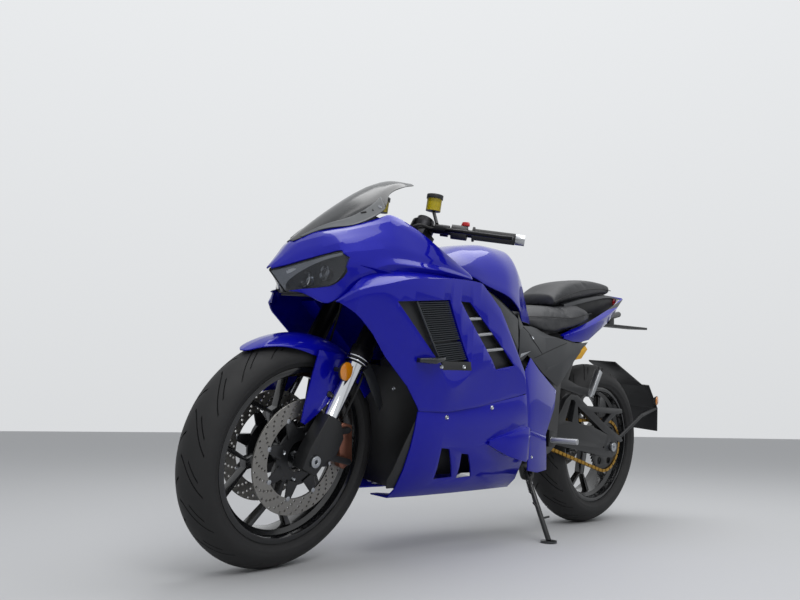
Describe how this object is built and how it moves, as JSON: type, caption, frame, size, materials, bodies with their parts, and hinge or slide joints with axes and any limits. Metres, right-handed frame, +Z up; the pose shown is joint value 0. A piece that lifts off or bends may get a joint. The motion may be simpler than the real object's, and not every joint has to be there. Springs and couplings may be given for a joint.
{
  "type": "sport motorcycle",
  "caption": "Faired electric sport bike on its side stand: steering turns, both wheels spin and the stand folds.",
  "frame": {"origin": "on the floor under the middle of the box round the parked bike", "axes": "+X forward along the bike, +Y to its left, +Z up; the bike leans left on its stand"},
  "size_m": [2.135, 0.7122, 1.0884],
  "materials": {
    "tyre": "matt rubber with a fine tread",
    "black_metal": "satin black",
    "steel": "ground steel",
    "gold_steel": "gold coated chain steel",
    "aluminium": "satin",
    "bronze_metal": "bronze lacquer",
    "black_plastic": "fine grained",
    "grey_plastic": "satin dark grey",
    "rubber": "matt",
    "amber_plastic": "glossy amber",
    "red_lens": "glossy red",
    "gloss_blue": "deep gloss blue lacquer",
    "smoked_lens": "smoked, glossy",
    "smoked_screen": "smoked, glossy",
    "seat_leather": "grained"
  },
  "bodies": {
    "front_wheel": {"front_tyre": "tyre", "front_rim": "black_metal", "front_discs": "steel"},
    "rear_wheel": {"rear_tyre": "tyre", "rear_rim": "black_metal", "rear_sprocket": "black_metal", "rear_disc": "steel"},
    "steering": {"fork_legs": "black_metal", "yokes": "black_metal", "front_axle": "steel", "handlebars": "black_metal", "switch_housings": "black_plastic", "grips": "rubber", "brake_levers": "black_metal", "fluid_pots": "amber_plastic", "front_mudguard": "gloss_blue", "front_reflectors": "amber_plastic", "fork_fins": "grey_plastic", "brake_hoses": "rubber", "front_calipers": "bronze_metal"},
    "frame": {"main_frame": "black_metal", "subframe": "black_metal", "battery_box": "black_metal", "drive_motor": "aluminium", "swing_arm": "black_metal", "rear_axle": "steel", "chain": "gold_steel", "nose_cowl": "gloss_blue", "headlamps": "smoked_lens", "windscreen": "smoked_screen", "screen_brackets": "grey_plastic", "side_fairing_left": "gloss_blue", "side_fairing_right": "gloss_blue", "belly_pan_left": "gloss_blue", "belly_pan_right": "gloss_blue", "air_grilles": "black_plastic", "indicators": "smoked_lens", "inner_panels": "black_plastic", "tank_cover": "gloss_blue", "side_trims": "grey_plastic", "side_covers": "grey_plastic", "pivot_covers": "gloss_blue", "rider_seat": "seat_leather", "pillion_seat": "seat_leather", "tail_cowl": "gloss_blue", "tail_lamp": "red_lens", "rear_reflectors": "amber_plastic", "plate_holder": "black_plastic", "rear_guard": "black_plastic", "front_stay": "black_metal", "rider_pegs": "aluminium", "pillion_pegs": "aluminium", "shock_absorber": "steel", "rear_caliper": "bronze_metal", "stand_bracket": "black_metal"},
    "side_stand": {"side_stand": "black_metal"}
  },
  "joints": [
    {"name": "steering", "type": "hinge", "parent": "frame", "child": "steering", "pos_m": [0.48456, -0.00184, 0.84949], "axis": [-0.4135, 0.129, 0.9013], "range_deg": [-28.7, 11.3]},
    {"name": "front_wheel_spin", "type": "hinge", "parent": "steering", "child": "front_wheel", "pos_m": [0.77204, -0.07688, 0.29314], "axis": [-0.1379, 0.9696, -0.202], "continuous": true},
    {"name": "rear_wheel_spin", "type": "hinge", "parent": "frame", "child": "rear_wheel", "pos_m": [-0.63262, -0.07908, 0.31168], "axis": [-0.0002, 0.9899, -0.1418], "continuous": true},
    {"name": "stand_fold", "type": "hinge", "parent": "frame", "child": "side_stand", "pos_m": [-0.12676, 0.02553, 0.20913], "axis": [0.0003, 0.9802, 0.1981], "range_deg": [0, 90]}
  ]
}
